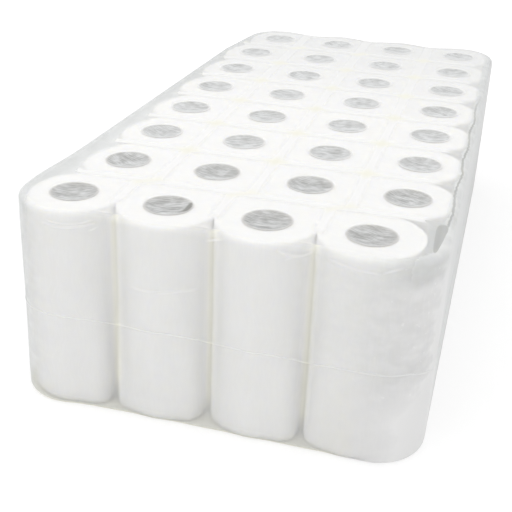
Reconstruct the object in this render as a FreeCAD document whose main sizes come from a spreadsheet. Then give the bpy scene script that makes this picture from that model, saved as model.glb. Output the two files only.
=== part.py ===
import FreeCAD, Part
import math
import os
import Sketcher

# Pack of paper towel rolls: a single layer of rolls standing on end, held in one skin of clear
# shrink film. X runs across the pack, Y from its front row to its back row, Z up.
# The origin is the middle of the underside. Lengths are in millimetres.

doc = FreeCAD.newDocument("paper_towel_pack")
sheet = doc.addObject("Spreadsheet::Sheet", "sizes")

DRIVING_SIZES = (
    ("rolls_across", 4, "rolls side by side in a row"),
    ("rolls_deep", 8, "rows from front to back"),
    ("roll_diameter", 102, "free diameter of a wound roll"),
    ("roll_height", 216, "height of a roll, the width of its sheets"),
    ("roll_pitch", 100, "centre to centre, across and along the pack"),
    ("front_row_pitch", 98.5, "centre to centre across the front row, which the film squeezes"),
    ("back_row_pitch", 96, "centre to centre across the back row, which the film squeezes"),
    ("front_row_shift", 15, "how far the front row has slid to the left of the rows behind it"),
    ("roll_clearance", 0.3, "gap left between the flats of two rolls that press together"),
    ("roll_top_round", 8, "rounding of a roll's top outer edge, pressed by the film"),
    ("roll_bottom_round", 10, "rounding of a roll's bottom outer edge, pressed by the film"),
    ("core_bore", 46.5, "inside diameter of a cardboard core"),
    ("core_wall", 0.8, "wall of a cardboard core"),
    ("core_fit", 0.1, "gap all round between a core and the first turn of paper"),
    ("film_thickness", 0.4, "wall of the film as drawn"),
    ("film_slack", 0.5, "gap between the film's sides and the rolls they pass"),
    ("film_valley_depth", 4, "how far the film dips between two rolls of the end rows"),
    ("seam_height", 102, "height of the weld that runs round the film"),
    ("seam_width", 1.6, "height of the weld's bead"),
    ("seam_proud", 0.6, "how far the weld's bead stands out of the film"),
)
for line, (alias, number, meaning) in enumerate(DRIVING_SIZES, start=1):
    sheet.set(f"A{line}", meaning)
    sheet.set(f"B{line}", str(number))
    sheet.setAlias(f"B{line}", alias)
doc.recompute()


def size(alias):
    """The number that a cell of the sheet holds."""
    return float(sheet.get(alias))


ACROSS = int(size("rolls_across"))
DEEP = int(size("rolls_deep"))
LAST_COLUMN = ACROSS - 1
LAST_ROW = DEEP - 1
ORIGIN = (-1, 1)
X_AXIS = -1
START = 1
END = 2
CENTRE = 3


# ---- helpers for bodies and sketches ----------------------------------------------------------

def new_body(name):
    body = doc.addObject("PartDesign::Body", name)
    body.Label = name
    return body


def new_sketch(body, name, plane):
    """A sketch on one of the body's own origin planes, such as XY_Plane."""
    sketch = body.newObject("Sketcher::SketchObject", name)
    face = [part for part in body.Origin.OriginFeatures if part.Role == plane][0]
    sketch.AttachmentSupport = [(face, "")]
    sketch.MapMode = "FlatFace"
    return sketch


def drive(sketch, name, expression, *constraint):
    """Adds a dimension to the sketch and binds it to cells of the sheet."""
    index = sketch.addConstraint(Sketcher.Constraint(*constraint))
    sketch.renameConstraint(index, name)
    sketch.setExpression(f"Constraints.{name}", expression)


def place(item, x, y, z):
    """Binds an object's place to cells of the sheet."""
    item.setExpression("Placement.Base.x", x)
    item.setExpression("Placement.Base.y", y)
    item.setExpression("Placement.Base.z", z)


def point(x, y):
    return FreeCAD.Vector(x, y, 0)


def arc(x, y, radius, first, last):
    """An arc drawn anticlockwise between two angles in radians."""
    circle = Part.Circle(point(x, y), FreeCAD.Vector(0, 0, 1), radius)
    return Part.ArcOfCircle(circle, first, last)


# ---- where the rolls stand --------------------------------------------------------------------
# The front row has slid to the left, so half of the shift is put on each side of the middle.
# The film squeezes both end rows: the front row towards its left roll, which it keeps furthest
# out, and the back row towards its right roll, which it keeps in line with the column.

ROW_Y = "(sizes.roll_pitch * ({row} - (sizes.rolls_deep - 1) / 2))"
FIRST_X = "(-sizes.roll_pitch * (sizes.rolls_across - 1) / 2 - sizes.front_row_shift / 2)"


def row_pitch(row):
    """The alias of the centre distance of the rolls in a row."""
    if row == 0:
        return "front_row_pitch"
    return "back_row_pitch" if row == LAST_ROW else "roll_pitch"


def row_start(row):
    """How far the left roll of a row stands to the right of the front row's left roll."""
    if row == 0:
        return "0"
    if row == LAST_ROW:
        squeeze = "(sizes.rolls_across - 1) * (sizes.roll_pitch - sizes.back_row_pitch)"
        return f"(sizes.front_row_shift + {squeeze})"
    return "sizes.front_row_shift"


# ---- paper rolls ------------------------------------------------------------------------------
# Each roll is one wound web of paper: a ring with soft outer edges, pressed flat where a
# neighbour stands against it.

CORE_RADIUS = "(sizes.core_bore / 2 + sizes.core_wall)"
PAPER_BORE = f"({CORE_RADIUS} + sizes.core_fit)"
FLOOR = "sizes.film_thickness"


def wind_roll(body, name):
    """Revolves the roll's section, a rectangle with a rounded corner at its top and bottom."""
    inner = size("core_bore") / 2 + size("core_wall") + size("core_fit")
    outer = size("roll_diameter") / 2
    height = size("roll_height")
    top = size("roll_top_round")
    bottom = size("roll_bottom_round")
    quarter = math.pi / 2

    sketch = new_sketch(body, f"{name}_section", "XZ_Plane")
    underside, bottom_arc, side, top_arc, upper_side, bore = sketch.addGeometry([
        Part.LineSegment(point(inner, 0), point(outer - bottom, 0)),
        arc(outer - bottom, bottom, bottom, -quarter, 0),
        Part.LineSegment(point(outer, bottom), point(outer, height - top)),
        arc(outer - top, height - top, top, 0, quarter),
        Part.LineSegment(point(outer - top, height), point(inner, height)),
        Part.LineSegment(point(inner, height), point(inner, 0)),
    ], False)
    path = [underside, bottom_arc, side, top_arc, upper_side]
    for before, after in zip(path, path[1:]):
        sketch.addConstraint(Sketcher.Constraint("Tangent", before, END, after, START))
    sketch.addConstraint([
        Sketcher.Constraint("Coincident", upper_side, END, bore, START),
        Sketcher.Constraint("Coincident", bore, END, underside, START),
        Sketcher.Constraint("Horizontal", underside),
        Sketcher.Constraint("Horizontal", upper_side),
        Sketcher.Constraint("Vertical", side),
        Sketcher.Constraint("Vertical", bore),
        Sketcher.Constraint("PointOnObject", underside, START, X_AXIS),
    ])
    drive(sketch, "bore_radius", PAPER_BORE, "DistanceX", *ORIGIN, bore, END, inner)
    drive(sketch, "outer_radius", "sizes.roll_diameter / 2", "DistanceX", *ORIGIN, side, START, outer)
    drive(sketch, "height", "sizes.roll_height", "DistanceY", bore, END, bore, START, height)
    drive(sketch, "bottom_round", "sizes.roll_bottom_round", "Radius", bottom_arc, bottom)
    drive(sketch, "top_round", "sizes.roll_top_round", "Radius", top_arc, top)

    wound = body.newObject("PartDesign::Revolution", f"{name}_wound")
    wound.Profile = sketch
    wound.ReferenceAxis = (sketch, ["V_Axis"])
    wound.Angle = 360


def add_rectangle(sketch, name, left, right, front, back, reach):
    """A rectangle round the sketch's origin, its four sides bound to the expressions given."""
    corners = [point(-reach, -reach), point(reach, -reach), point(reach, reach), point(-reach, reach)]
    sides = sketch.addGeometry([
        Part.LineSegment(corners[n], corners[(n + 1) % 4]) for n in range(4)
    ], False)
    for n in range(4):
        after = sides[(n + 1) % 4]
        sketch.addConstraint(Sketcher.Constraint("Coincident", sides[n], END, after, START))
        level = "Horizontal" if n % 2 == 0 else "Vertical"
        sketch.addConstraint(Sketcher.Constraint(level, sides[n]))
    front_side, right_side, back_side, left_side = sides
    drive(sketch, f"{name}_front", front, "DistanceY", front_side, START, *ORIGIN, reach)
    drive(sketch, f"{name}_right", right, "DistanceX", *ORIGIN, right_side, START, reach)
    drive(sketch, f"{name}_back", back, "DistanceY", *ORIGIN, back_side, START, reach)
    drive(sketch, f"{name}_left", left, "DistanceX", left_side, START, *ORIGIN, reach)


def press_flats(body, name, row, column):
    """Trims the roll to the cell that its neighbours leave it. A free side stays round."""
    outside = "sizes.roll_diameter"
    free_side = "sizes.roll_diameter * 3 / 4"
    beside = f"(sizes.{row_pitch(row)} - sizes.roll_clearance) / 2"
    ahead = "(sizes.roll_pitch - sizes.roll_clearance) / 2"
    sketch = new_sketch(body, f"{name}_cell", "XY_Plane")
    add_rectangle(sketch, "outside", outside, outside, outside, outside, size("roll_diameter"))
    add_rectangle(
        sketch, "cell",
        left=beside if column > 0 else free_side,
        right=beside if column < LAST_COLUMN else free_side,
        front=ahead if row > 0 else free_side,
        back=ahead if row < LAST_ROW else free_side,
        reach=size("roll_pitch") / 2,
    )
    flats = body.newObject("PartDesign::Pocket", f"{name}_flats")
    flats.Profile = sketch
    flats.Type = "ThroughAll"
    flats.Reversed = True


def paper_roll(row, column):
    name = f"paper_roll_r{row + 1}c{column + 1}"
    body = new_body(name)
    wind_roll(body, name)
    press_flats(body, name, row, column)
    x = f"{FIRST_X} + {row_start(row)} + sizes.{row_pitch(row)} * {column}"
    place(body, x, ROW_Y.format(row=row), FLOOR)
    return body


# ---- cardboard cores --------------------------------------------------------------------------
# A core is a plain tube cut to length with its roll. The four cores of a row share one body.

def core_tubes(row):
    name = f"core_tubes_r{row + 1}"
    body = new_body(name)
    sketch = new_sketch(body, f"{name}_ring", "XY_Plane")
    inner_radius = size("core_bore") / 2
    outer_radius = inner_radius + size("core_wall")
    up = FreeCAD.Vector(0, 0, 1)
    inner, outer = sketch.addGeometry([
        Part.Circle(point(0, 0), up, inner_radius),
        Part.Circle(point(0, 0), up, outer_radius),
    ], False)
    for ring in (inner, outer):
        sketch.addConstraint(Sketcher.Constraint("Coincident", ring, CENTRE, *ORIGIN))
    drive(sketch, "inner_radius", "sizes.core_bore / 2", "Radius", inner, inner_radius)
    drive(sketch, "outer_radius", CORE_RADIUS, "Radius", outer, outer_radius)

    tube = body.newObject("PartDesign::Pad", f"{name}_tube")
    tube.Profile = sketch
    tube.setExpression("Length", "sizes.roll_height")

    copies = body.newObject("PartDesign::LinearPattern", f"{name}_row")
    copies.Originals = [tube]
    copies.Direction = (sketch, ["H_Axis"])
    copies.Mode = "Spacing"
    copies.setExpression("Offset", f"sizes.{row_pitch(row)}")
    copies.setExpression("Occurrences", "sizes.rolls_across")
    body.Tip = copies
    place(body, f"{FIRST_X} + {row_start(row)}", ROW_Y.format(row=row), FLOOR)
    return body


# ---- shrink film ------------------------------------------------------------------------------
# The film is one welded skin. Along the sides it is drawn straight from roll to roll, and at
# both ends it dips between the rolls. A form of its outside less a form of its inside makes it.

ROLL_SIDE = "(sizes.roll_diameter / 2 + sizes.film_slack)"


def film_stations():
    """The rolls that the film bends round, anticlockwise from the front row's left roll.

    Each has its place, the cells that give it, and the spacing of the dip that follows it, if
    one does. At the front right the film keeps its square corner, where the front row has slid
    away from it. Side rolls that stand a little further in are passed by without a bend.
    """
    right = f"({row_start(1)} + sizes.roll_pitch * (sizes.rolls_across - 1))"
    back = "(sizes.roll_pitch * (sizes.rolls_deep - 1))"
    right_x = size("front_row_shift") + size("roll_pitch") * LAST_COLUMN
    back_y = size("roll_pitch") * LAST_ROW
    stations = []
    for column in range(ACROSS):
        dip = row_pitch(0) if column < LAST_COLUMN else None
        x_cell = f"sizes.{row_pitch(0)} * {column}"
        stations.append((size(row_pitch(0)) * column, 0, x_cell, None, dip))
    stations.append((right_x, 0, right, None, None))
    for steps in range(ACROSS):
        dip = row_pitch(LAST_ROW) if steps < LAST_COLUMN else None
        x_cell = f"{right} - sizes.{row_pitch(LAST_ROW)} * {steps}"
        x = right_x - size(row_pitch(LAST_ROW)) * steps
        stations.append((x, back_y, x_cell, back, dip))
    last_but_one = f"{back} - sizes.roll_pitch"
    stations.append((size("front_row_shift"), back_y - size("roll_pitch"), row_start(1), last_but_one, None))
    return stations


def film_outline(body, name, offset, offset_size):
    """The film's plan outline, offset outwards from its inner face.

    It is drawn from the centre of the front row's left roll: an arc round each roll, and between
    two arcs a straight run or a hollow dip that touches both.
    """
    radius = size("roll_diameter") / 2 + size("film_slack") + offset_size
    depth = size("film_valley_depth")
    dip_reach = "(sizes.{spacing}^2 / 4 + sizes.film_valley_depth^2) / (2 * sizes.film_valley_depth)"
    sketch = new_sketch(body, f"{name}_outline", "XY_Plane")
    stations = film_stations()

    links = []
    for number, (x, y, _, _, dip) in enumerate(stations):
        next_x, next_y = stations[(number + 1) % len(stations)][:2]
        outward = math.atan2(next_y - y, next_x - x) - math.pi / 2
        reach = (size(dip) ** 2 / 4 + depth ** 2) / (2 * depth) if dip else 0
        lean = math.asin(size(dip) / 2 / reach) if dip else 0
        links.append((outward, lean, reach))

    path = []
    for number, (x, y, x_cell, y_cell, dip) in enumerate(stations):
        outward, lean, reach = links[number]
        outward_before, lean_before, _ = links[number - 1]
        first = outward_before - lean_before
        turn = (outward + lean - first) % (2 * math.pi)
        bend = sketch.addGeometry(arc(x, y, radius, first, first + turn), False)
        drive(sketch, f"bend{number}", f"{ROLL_SIDE} + {offset}", "Radius", bend, radius)
        if number == 0:
            sketch.addConstraint(Sketcher.Constraint("Coincident", bend, CENTRE, *ORIGIN))
        else:
            drive(sketch, f"x{number}", x_cell, "DistanceX", *ORIGIN, bend, CENTRE, x)
            if y_cell is None:
                sketch.addConstraint(Sketcher.Constraint("PointOnObject", bend, CENTRE, X_AXIS))
            else:
                drive(sketch, f"y{number}", y_cell, "DistanceY", *ORIGIN, bend, CENTRE, y)
        path.append((bend, START, END))

        leave = first + turn
        if dip:
            centre_x = x + reach * math.cos(leave)
            centre_y = y + reach * math.sin(leave)
            facing = outward + math.pi
            hollow = arc(centre_x, centre_y, reach - radius, facing - lean, facing + lean)
            link = sketch.addGeometry(hollow, False)
            cell = f"{dip_reach.format(spacing=dip)} - {ROLL_SIDE} - {offset}"
            drive(sketch, f"dip{number}", cell, "Radius", link, reach - radius)
            path.append((link, END, START))
        else:
            next_x, next_y = stations[(number + 1) % len(stations)][:2]
            reach_x = radius * math.cos(leave)
            reach_y = radius * math.sin(leave)
            near = point(x + reach_x, y + reach_y)
            far = point(next_x + reach_x, next_y + reach_y)
            path.append((sketch.addGeometry(Part.LineSegment(near, far), False), START, END))

    for number, (geometry, _, leave) in enumerate(path):
        following, enter, _ = path[(number + 1) % len(path)]
        sketch.addConstraint(Sketcher.Constraint("Tangent", geometry, leave, following, enter))
    return sketch


def level_face(feature, upward):
    """The name of a feature's highest or lowest flat face."""
    faces = feature.Shape.Faces
    order = sorted(range(len(faces)), key=lambda n: faces[n].CenterOfMass.z)
    return f"Face{(order[-1] if upward else order[0]) + 1}"


def round_edges(body, base, name, upward, radius):
    """Rounds every edge of the highest or lowest face of the body so far."""
    doc.recompute()
    rounding = body.newObject("PartDesign::Fillet", name)
    rounding.Base = (base, [level_face(base, upward)])
    rounding.setExpression("Radius", radius)
    return rounding


def film_form(name, offset, offset_size, height):
    """A solid block of the film's outline with rounded top and bottom edges."""
    body = new_body(name)
    block = body.newObject("PartDesign::Pad", f"{name}_block")
    block.Profile = film_outline(body, name, offset, offset_size)
    block.setExpression("Length", height)
    lower = f"sizes.roll_bottom_round + sizes.film_slack + {offset}"
    upper = f"sizes.roll_top_round + sizes.film_slack + {offset}"
    block = round_edges(body, block, f"{name}_bottom_round", False, lower)
    round_edges(body, block, f"{name}_top_round", True, upper)
    return body


def add_seam(body, name):
    """The weld that joins the upper and lower film, a thin bead all the way round."""
    reach = size("film_thickness") + size("seam_proud")
    sketch = film_outline(body, name, "sizes.film_thickness + sizes.seam_proud", reach)
    sketch.setExpression("AttachmentOffset.Base.z", "sizes.seam_height - sizes.seam_width / 2")
    bead = body.newObject("PartDesign::Pad", f"{name}_bead")
    bead.Profile = sketch
    bead.setExpression("Length", "sizes.seam_width")


def film_wrap():
    thickness = size("film_thickness")
    row_y = ROW_Y.format(row=0)
    outside = film_form(
        "film_outside", "sizes.film_thickness", thickness,
        "sizes.roll_height + 2 * sizes.film_thickness",
    )
    add_seam(outside, "film_seam")
    place(outside, FIRST_X, row_y, "0")
    inside = film_form("film_inside", "0", 0, "sizes.roll_height")
    place(inside, FIRST_X, row_y, "sizes.film_thickness")
    wrap = doc.addObject("Part::Cut", "film_wrap")
    wrap.Label = "film_wrap"
    wrap.Base = outside
    wrap.Tool = inside
    return wrap


# ---- the pack ---------------------------------------------------------------------------------

subparts = [film_wrap()]
for row in range(DEEP):
    subparts.append(core_tubes(row))
    for column in range(ACROSS):
        subparts.append(paper_roll(row, column))
doc.recompute()

for item in doc.Objects:
    if "Invalid" in item.State or "Error" in item.State:
        raise RuntimeError(f"{item.Name} did not build: {item.State}")
for subpart in subparts:
    if subpart.Shape.isNull() or not subpart.Shape.isValid():
        raise RuntimeError(f"{subpart.Label} has no valid shape")

os.makedirs("parts", exist_ok=True)
for subpart in subparts:
    subpart.Shape.exportStep(f"parts/{subpart.Label}.step")
    solids = len(subpart.Shape.Solids)
    print(f"{subpart.Label}: {solids} solid(s), {subpart.Shape.Volume / 1000:.1f} cm3")
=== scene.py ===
"""A pack of 32 rolls of paper towel in clear film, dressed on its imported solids."""

import math

import bmesh
import bpy
import numpy as np
from mathutils import Matrix, Vector, noise
from mathutils.geometry import delaunay_2d_cdt


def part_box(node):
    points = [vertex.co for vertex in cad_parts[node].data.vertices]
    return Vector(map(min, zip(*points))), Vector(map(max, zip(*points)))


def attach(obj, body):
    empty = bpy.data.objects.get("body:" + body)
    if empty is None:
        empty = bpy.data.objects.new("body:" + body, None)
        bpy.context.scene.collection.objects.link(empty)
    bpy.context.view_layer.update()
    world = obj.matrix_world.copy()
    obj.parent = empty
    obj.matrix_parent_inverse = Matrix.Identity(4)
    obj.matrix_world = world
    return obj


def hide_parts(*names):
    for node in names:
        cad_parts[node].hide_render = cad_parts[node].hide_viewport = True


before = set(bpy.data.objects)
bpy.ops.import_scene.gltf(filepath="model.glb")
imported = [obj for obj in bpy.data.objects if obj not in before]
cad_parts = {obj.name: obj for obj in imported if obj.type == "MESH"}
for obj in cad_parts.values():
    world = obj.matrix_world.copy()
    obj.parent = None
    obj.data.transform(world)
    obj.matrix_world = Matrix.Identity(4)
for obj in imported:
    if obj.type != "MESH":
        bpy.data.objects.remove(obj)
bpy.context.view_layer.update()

# ----------------------------------------
# Camera: a long lens in front of the pack, a little to its right and well above it,
# held with a slight tilt.

CAMERA_AIM = Vector((0.0501, -0.4269, 0.2164))
CAMERA_AZIMUTH = math.radians(14.93)
CAMERA_ELEVATION = math.radians(26.51)
CAMERA_DISTANCE = 0.7924
CAMERA_ROLL = math.radians(2.2)
CAMERA_LENS = 64.94
CAMERA_SENSOR = 36.0

camera_back = Vector(
    (
        math.sin(CAMERA_AZIMUTH) * math.cos(CAMERA_ELEVATION),
        -math.cos(CAMERA_AZIMUTH) * math.cos(CAMERA_ELEVATION),
        math.sin(CAMERA_ELEVATION),
    )
)
camera_level = Vector((0, 0, 1)).cross(camera_back).normalized()
camera_up = camera_back.cross(camera_level)
camera_side = camera_level * math.cos(CAMERA_ROLL) + camera_up * math.sin(CAMERA_ROLL)
camera_turn = Matrix((camera_side, camera_back.cross(camera_side), camera_back)).transposed()
camera_place = Matrix.Translation(CAMERA_AIM + camera_back * CAMERA_DISTANCE)
camera_data = bpy.data.cameras.new("camera")
camera_data.lens = CAMERA_LENS
camera_data.sensor_width = CAMERA_SENSOR
camera_data.clip_start = 0.01
camera_data.clip_end = 60.0
camera = bpy.data.objects.new("camera", camera_data)
camera.matrix_world = camera_place @ camera_turn.to_4x4()
bpy.context.scene.collection.objects.link(camera)
bpy.context.scene.camera = camera

# ----------------------------------------
# Paper rolls: white two-ply towel wound on a core, standing on end. Each is turned as
# a plain blank. A node tree then rounds its edges, presses it against its neighbours,
# crushes its free edges under the film and leaves the end of the last sheet standing.

ROLLS_ACROSS = 4
ROLLS_DEEP = 8


def roll_centre(row, column):
    """Where a roll stands: its row's core tubes are evenly spaced from the first to the last."""
    low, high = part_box(f"core_tubes_r{row}")
    half = (high.y - low.y) / 2
    share = (column - 1) / (ROLLS_ACROSS - 1)
    return low.x + half + (high.x - low.x - 2 * half) * share, low.y + half


# a free roll has the sizes of the first one, to a tenth of a millimetre
first_low, first_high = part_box("paper_roll_r1c1")
ROLL_HEIGHT = round(first_high.z - first_low.z, 4)
ROLL_RADIUS = round(roll_centre(1, 1)[1] - first_low.y, 4)
ROLL_PITCH = round(roll_centre(2, 1)[1] - roll_centre(1, 1)[1], 4)
ROLL_BORE = 0.02415
HALF_GAP = 0.00015  # half of the air between two rolls of the frame, closed here
ROLL_STEPS = 132
EDGE_ROUND, FOOT_ROUND, LIP_ROUND = 0.0001, 0.005, 0.0006
SHEET_STEP = 0.0007
STEP_ANGLE = 0.008  # a second line of points this close to the step keeps it crisp
FIRM_TURNS = 0.008  # the turns this close to the bore don't give
WINDING_PLAY, END_PLAY = 0.0022, 0.0011
SWELL = 0.0165  # how far paper swells into a closed corner between rolls
FRONT_SWELL_LEFT = (0.0, 0.006, 0.003, 0.006)
FRONT_SWELL_RIGHT = (0.0095, 0.0065, 0.0095, 0.0)
FRONT_SWELL_FROM, FRONT_SWELL_FULL = 0.15, 0.03  # heights between which it grows downwards
CRUSH_LEFT, CRUSH_RIGHT, CRUSH_BACK = 0.010, 0.006, 0.007
CRUSH_FRONT = (0.005, 0.0055, 0.0055, 0.0065)
PAPER_SHADED, PAPER_WHITE = (0.865, 0.863, 0.85, 1), (0.917, 0.915, 0.91, 1)
TURN_SPACING = 0.0011
SIDES = ("left", "right", "front", "back")


class Nodes:
    """A node tree under construction: each call adds one node and links what it is given."""

    def __init__(self, tree):
        self.tree = tree

    def add(self, kind, out=0, inputs=None, **settings):
        node = self.tree.nodes.new(kind)
        for name, value in settings.items():
            setattr(node, name, value)
        for key, value in (inputs or {}).items():
            if isinstance(value, bpy.types.NodeSocket):
                self.tree.links.new(value, node.inputs[key])
            else:
                node.inputs[key].default_value = value
        return node.outputs[out]

    def given(self):
        """The tree's own inputs by name."""
        entry = self.tree.nodes.new("NodeGroupInput")
        return {socket.name: socket for socket in entry.outputs}

    def hand_over(self, socket):
        """Ends the tree with this socket."""
        self.tree.links.new(socket, self.tree.nodes.new("NodeGroupOutput").inputs[0])

    def math(self, operation, a, b=0.0, c=0.0):
        kind = "ShaderNodeMath"
        return self.add(kind, 0, {0: a, 1: b, 2: c}, operation=operation)

    def times(self, *factors):
        """The product of the factors, from the left."""
        product = factors[0]
        for factor in factors[1:]:
            product = self.math("MULTIPLY", product, factor)
        return product

    def plus(self, a, b):
        return self.math("ADD", a, b)

    def minus(self, a, b):
        return self.math("SUBTRACT", a, b)

    def fused(self, a, b, c):
        """a times b plus c."""
        return self.math("MULTIPLY_ADD", a, b, c)

    def power(self, a, exponent):
        return self.math("POWER", a, exponent)

    def apart(self, a):
        """How far a is from zero."""
        return self.math("ABSOLUTE", a)

    def most(self, a, b):
        return self.math("MAXIMUM", a, b)

    def vector(self, operation, a, b=(0, 0, 0)):
        out = 1 if operation == "LENGTH" else 0
        return self.add("ShaderNodeVectorMath", out, {0: a, 1: b}, operation=operation)

    def clamp(self, value, low, high):
        return self.add("ShaderNodeClamp", 0, {"Value": value, "Min": low, "Max": high})

    def ramp(self, value, low, high, to_low=0.0, to_high=1.0, smooth=True):
        kind = "ShaderNodeMapRange"
        ends = {0: value, 1: low, 2: high, 3: to_low, 4: to_high}
        style = "SMOOTHSTEP" if smooth else "LINEAR"
        return self.add(kind, 0, ends, interpolation_type=style)

    def mix(self, share, a, b):
        return self.add("ShaderNodeMix", 0, {0: share, 2: a, 3: b})

    def blend(self, share, a, b):
        """One colour running over into the other."""
        return self.add("ShaderNodeMix", 2, {0: share, 6: a, 7: b}, data_type="RGBA")

    def noise(self, vector, scale, detail, out=0, **more):
        inputs = {"Vector": vector, "Scale": scale, "Detail": detail}
        settings = {"noise_dimensions": "4D"} if "W" in more else {}
        return self.add("ShaderNodeTexNoise", out, inputs | more, **settings)

    def mark(self, name, out="Fac"):
        """A number, or a vector, that the mesh holds at each point."""
        return self.add("ShaderNodeAttribute", out, attribute_name=name)

    def parts(self, vector):
        node = self.tree.nodes.new("ShaderNodeSeparateXYZ")
        self.tree.links.new(vector, node.inputs[0])
        return node.outputs[:3]

    def join(self, x, y, z):
        return self.add("ShaderNodeCombineXYZ", 0, {0: x, 1: y, 2: z})


def add_inputs(tree, labels):
    """Gives the tree its named inputs, numbers or vectors."""
    for label in labels:
        vector = label in ("Centre", "Step", "Place", "Stretch")
        kind = "NodeSocketVector" if vector else "NodeSocketFloat"
        tree.interface.new_socket(label, in_out="INPUT", socket_type=kind)


def shaping_tree(name, labels):
    """An empty geometry tree with the named inputs."""
    tree = bpy.data.node_groups.new(name, "GeometryNodeTree")
    for way in ("INPUT", "OUTPUT"):
        tree.interface.new_socket("Geometry", in_out=way, socket_type="NodeSocketGeometry")
    add_inputs(tree, labels)
    return tree


def finished(n, shape, finish):
    """Real faces in their material, as the end of a shaping tree."""
    real = n.add("GeometryNodeRealizeInstances", 0, {"Geometry": shape})
    coated = n.add("GeometryNodeSetMaterial", 0, {"Geometry": real, "Material": finish})
    n.hand_over(coated)


def keep_winding(n, shape, value):
    """Stores where each point lies in its own roll or tube, for the materials."""
    return n.add(
        "GeometryNodeStoreNamedAttribute", 0,
        {"Geometry": shape, "Name": "winding", "Value": value},
        data_type="FLOAT_VECTOR", domain="POINT",
    )


def run_tree(blank, tree, values):
    """The plain mesh that the tree makes of the blank with these inputs."""
    modifier = blank.modifiers.new("shape", "NODES")
    modifier.node_group = tree
    for item in tree.interface.items_tree:
        if item.in_out == "INPUT" and item.name in values:
            modifier[item.identifier] = values[item.name]
    depsgraph = bpy.context.evaluated_depsgraph_get()
    made = bpy.data.meshes.new_from_object(blank.evaluated_get(depsgraph))
    blank.modifiers.remove(modifier)
    return made


def placed(name, mesh):
    """A new object that shows the mesh."""
    piece = bpy.data.objects.new(name, mesh)
    bpy.context.scene.collection.objects.link(piece)
    return piece


def turned_blank(name, inner, outer, height, section, steps, extra_angle=None):
    """A plain ring of quads round the axis, from the bore to the outside and back."""
    angles = [2 * math.pi * i / steps for i in range(steps)]
    if extra_angle:
        angles.insert(1, extra_angle)
    ring = [(inner + (outer - inner) * a, height * b) for a, b in section]
    verts = [(r * math.cos(t), r * math.sin(t), z) for t in angles for r, z in ring]
    count, loop = len(angles), len(ring)
    faces = []
    for i in range(count):
        for j in range(loop):
            i2, j2 = (i + 1) % count, (j + 1) % loop
            faces.append((i * loop + j, i2 * loop + j, i2 * loop + j2, i * loop + j2))
    mesh = bpy.data.meshes.new(name)
    mesh.from_pydata(verts, [], faces)
    mesh.shade_smooth()
    return placed(name, mesh)


def roll_section():
    """Where the loops of a roll lie on its section, in shares of its wall and height."""
    floor = [(a, 0.0) for a in (0.0, 0.04, 0.3, 0.55, 0.7, 0.8, 0.88, 0.94, 1.0)]
    side = [0.02, 0.035, 0.05, 0.08] + [0.12 + 0.06 * k for k in range(13)]
    side += [0.88, 0.91, 0.94, 0.96, 0.98]
    roof = [1.0, 0.985, 0.94, 0.88, 0.8, 0.7, 0.62, 0.54, 0.46, 0.38, 0.3, 0.22, 0.14, 0.07, 0.03]
    bore = [(0.0, b) for b in (1.0, 0.985, 0.93, 0.8, 0.5, 0.1, 0.01)]
    return floor + [(1.0, b) for b in side] + [(a, 1.0) for a in roof] + bore


def crushed(n, cos, sin, given):
    """How much more the film rounds the top edge of a side that no neighbour holds."""
    crush = 0.0
    looks = {"right": cos, "left": n.times(cos, -1.0), "front": n.times(sin, -1.0), "back": sin}
    for side, look in looks.items():
        crush = n.fused(n.power(n.most(look, 0.0), 2.0), given["Crush " + side], crush)
    return crush


def rounded_section(n, radius, height, given, crush):
    """The section with rounded edges: an inner box of the blank grown by the edge radius."""
    outside = n.ramp(radius, ROLL_BORE, ROLL_RADIUS, smooth=False)
    outer = n.math("GREATER_THAN", outside, 0.5)
    upper = n.math("GREATER_THAN", height, ROLL_HEIGHT * 0.5)
    edge = n.mix(upper, given["Foot"], n.plus(given["Edge"], crush))
    edge = n.mix(outer, given["Lip"], edge)
    r_in = n.clamp(radius, n.plus(edge, ROLL_BORE), n.minus(ROLL_RADIUS, edge))
    z_in = n.clamp(height, edge, n.minus(ROLL_HEIGHT, edge))
    dr, dz = n.minus(radius, r_in), n.minus(height, z_in)
    far = n.math("SQRT", n.plus(n.power(dr, 2.0), n.power(dz, 2.0)))
    grow = n.math("DIVIDE", edge, n.most(far, 1e-7))
    return n.fused(dr, grow, r_in), n.fused(dz, grow, z_in)


def swelling(n, angle, cos, sin, height, given):
    """Soft paper swells into the open corners between four rolls."""
    corner = n.power(n.math("SINE", n.times(angle, 2.0)), 2.0)
    to_right, to_back = n.math("GREATER_THAN", cos, 0.0), n.math("GREATER_THAN", sin, 0.0)
    behind = n.mix(to_right, given["Swell left back"], given["Swell right back"])
    before = n.mix(to_right, given["Swell left front"], given["Swell right front"])
    # on a free front only the lower part swells, and in a narrower ridge
    heavy = n.times(n.power(corner, 2.0), n.ramp(height, FRONT_SWELL_FROM, FRONT_SWELL_FULL))
    before = n.times(before, n.mix(given["Low front"], 1.0, heavy))
    return n.times(corner, n.mix(to_back, before, behind))


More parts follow.
